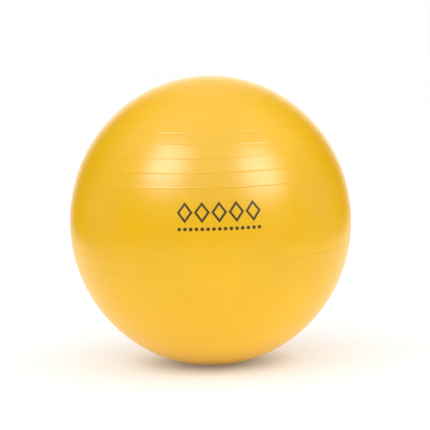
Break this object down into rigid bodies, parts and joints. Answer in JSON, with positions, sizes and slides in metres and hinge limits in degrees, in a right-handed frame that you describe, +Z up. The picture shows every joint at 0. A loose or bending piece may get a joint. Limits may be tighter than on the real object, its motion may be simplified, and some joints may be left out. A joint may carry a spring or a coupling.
{
  "type": "inflatable exercise ball",
  "caption": "Yellow inflatable exercise ball with fine raised rings above and below a smooth belt, and a white push-in air plug set flush in the back of the belt.",
  "frame": {"origin": "centre of the flat patch under the ball, on the floor that it stands on", "axes": "+Z up, along the axis of the raised rings. -Y is the front, where the belt is printed. +Y is the back, where the air plug is. +X is to the right, seen from the front"},
  "size_m": [0.4399, 0.44, 0.45],
  "materials": {
    "skin": "satin",
    "neck": "satin",
    "plug": "satin"
  },
  "bodies": {
    "ball": {"ball_skin": "skin", "valve_neck": "neck"},
    "plug": {"valve_plug": "plug"}
  },
  "joints": [
    {"name": "plug_pull", "type": "slide", "parent": "ball", "child": "plug", "axis": [0, 0.9955, 0.0948], "range_m": [0, 0.04]}
  ]
}
